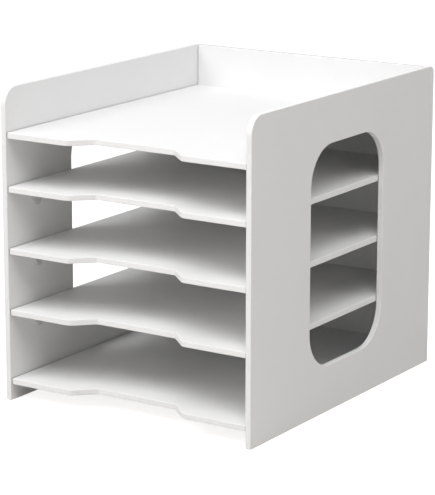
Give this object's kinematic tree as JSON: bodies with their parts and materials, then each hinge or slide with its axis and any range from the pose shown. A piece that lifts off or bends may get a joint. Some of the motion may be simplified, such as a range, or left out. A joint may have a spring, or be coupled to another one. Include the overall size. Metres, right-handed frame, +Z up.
{
  "type": "letter tray",
  "caption": "Upright letter tray of white boards: side panels with rounded windows, a closed back, and fixed open-front shelves with finger notches.",
  "frame": {"origin": "on the surface the tray stands on, below the middle of its outline", "axes": "+Z up, -Y out of the open front, +X to the right as seen by someone facing the open front"},
  "size_m": [0.292, 0.356, 0.32],
  "materials": {
    "board": "white foamed board with a fine satin skin, edges the same white",
    "support": "light grey moulded plastic",
    "dowel": "plain hardwood dowel",
    "screw": "zinc-plated steel"
  },
  "bodies": {
    "root": {"left_side_panel": "board", "right_side_panel": "board", "back_panel": "board", "bottom_shelf": "board", "lower_shelf": "board", "middle_shelf": "board", "upper_shelf": "board", "top_shelf": "board", "lower_shelf_support_front_left": "support", "lower_shelf_support_front_right": "support", "lower_shelf_support_rear_left": "support", "lower_shelf_support_rear_right": "support", "middle_shelf_support_front_left": "support", "middle_shelf_support_front_right": "support", "middle_shelf_support_rear_left": "support", "middle_shelf_support_rear_right": "support", "upper_shelf_support_front_left": "support", "upper_shelf_support_front_right": "support", "upper_shelf_support_rear_left": "support", "upper_shelf_support_rear_right": "support", "bottom_shelf_dowels": "dowel", "top_shelf_dowels": "dowel", "back_panel_dowels": "dowel", "bottom_shelf_back_screws": "screw", "top_shelf_back_screws": "screw", "lower_shelf_support_screws": "screw", "middle_shelf_support_screws": "screw", "upper_shelf_support_screws": "screw"}
  },
  "joints": []
}
